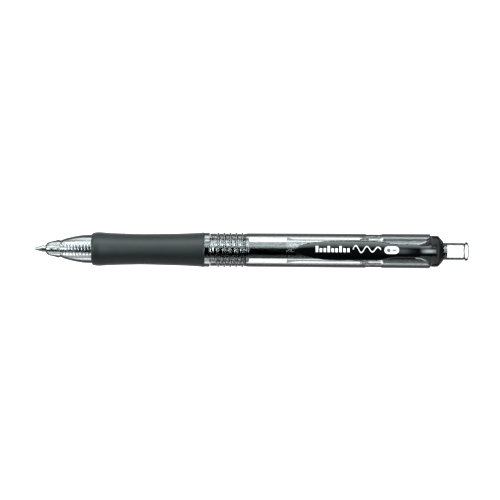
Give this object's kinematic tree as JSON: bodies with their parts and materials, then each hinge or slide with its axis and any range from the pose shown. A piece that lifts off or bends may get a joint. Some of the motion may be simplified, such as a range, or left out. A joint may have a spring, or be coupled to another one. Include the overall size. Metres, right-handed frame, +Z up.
{
  "type": "retractable gel pen",
  "caption": "Retractable gel pen with a clear barrel, rubber grip, screw-off front section, pocket clip and clear push button.",
  "frame": {"origin": "on the table under the middle of the pen, where it lies on its barrel", "axes": "+X along the pen from the writing point to the push button, +Z up through the clip, +Y to the side"},
  "size_m": [0.1448, 0.012, 0.0139],
  "materials": {
    "front_clear": "polished clear moulding",
    "barrel_smoke": "polished, slightly smoky clear moulding",
    "sleeve_clear": "clear moulding",
    "button_clear": "polished clear moulding",
    "grip_rubber": "matt moulded rubber",
    "black_plastic": "high gloss black moulding",
    "plunger_black": "satin black moulding",
    "rotor_natural": "natural acetal",
    "tip_metal": "fine turned and polished metal",
    "ball_carbide": "ground and lapped",
    "spring_steel": "drawn spring wire",
    "holder_natural": "translucent moulding",
    "tube_natural": "clear extruded tube",
    "ink_black": "wet black gel ink",
    "follower_grease": "clear grease",
    "end_plug": "satin moulding"
  },
  "bodies": {
    "barrel": {"rear_barrel": "barrel_smoke", "cam_sleeve": "sleeve_clear", "tail_cap": "black_plastic"},
    "spring": {"return_spring": "spring_steel"},
    "front": {"front_barrel": "front_clear", "rubber_grip": "grip_rubber"},
    "button": {"push_button": "button_clear", "plunger": "plunger_black"},
    "refill": {"refill_tube": "tube_natural", "ink_column": "ink_black", "ink_follower": "follower_grease", "refill_end_plug": "end_plug", "tip_holder": "holder_natural", "writing_tip": "tip_metal", "ball_spring": "spring_steel"},
    "rotor": {"cam_rotor": "rotor_natural"},
    "ball": {"writing_ball": "ball_carbide"},
    "clip": {"clip": "black_plastic"}
  },
  "joints": [
    {"name": "button_press", "type": "slide", "parent": "barrel", "child": "button", "axis": [1, 0, 0], "range_m": [-0.001, 0.0055]},
    {"name": "refill_slide", "type": "slide", "parent": "barrel", "child": "refill", "axis": [1, 0, 0], "range_m": [-0.00105, 0.00555], "deforming": ["return_spring"]},
    {"name": "rotor_index", "type": "hinge", "parent": "refill", "child": "rotor", "pos_m": [0.04155, 0, 0.00593], "axis": [1, 0, 0], "continuous": true},
    {"name": "ball_roll", "type": "hinge", "parent": "refill", "child": "ball", "pos_m": [-0.0722, 0, 0.00593], "axis": [0, 1, 0], "continuous": true},
    {"name": "front_draw", "type": "slide", "parent": "barrel", "child": "spring", "axis": [-1, 0, 0], "range_m": [0, 0.01]},
    {"name": "front_unscrew", "type": "hinge", "parent": "spring", "child": "front", "pos_m": [-0.0137, 0, 0.00593], "axis": [-1, 0, 0], "range_deg": [0, 1801]},
    {"name": "clip_flex", "type": "hinge", "parent": "barrel", "child": "clip", "pos_m": [0.05205, 0, 0.0128], "axis": [0, 1, 0], "range_deg": [0, 4], "stiffness_Nm_per_rad": 1.9, "springref_deg": -1.15}
  ],
  "couplings": [
    {"joint": "refill_slide", "follows": "button_press", "ratio": 1},
    {"joint": "front_unscrew", "follows": "front_draw", "rad_per_m": 3141.6}
  ]
}
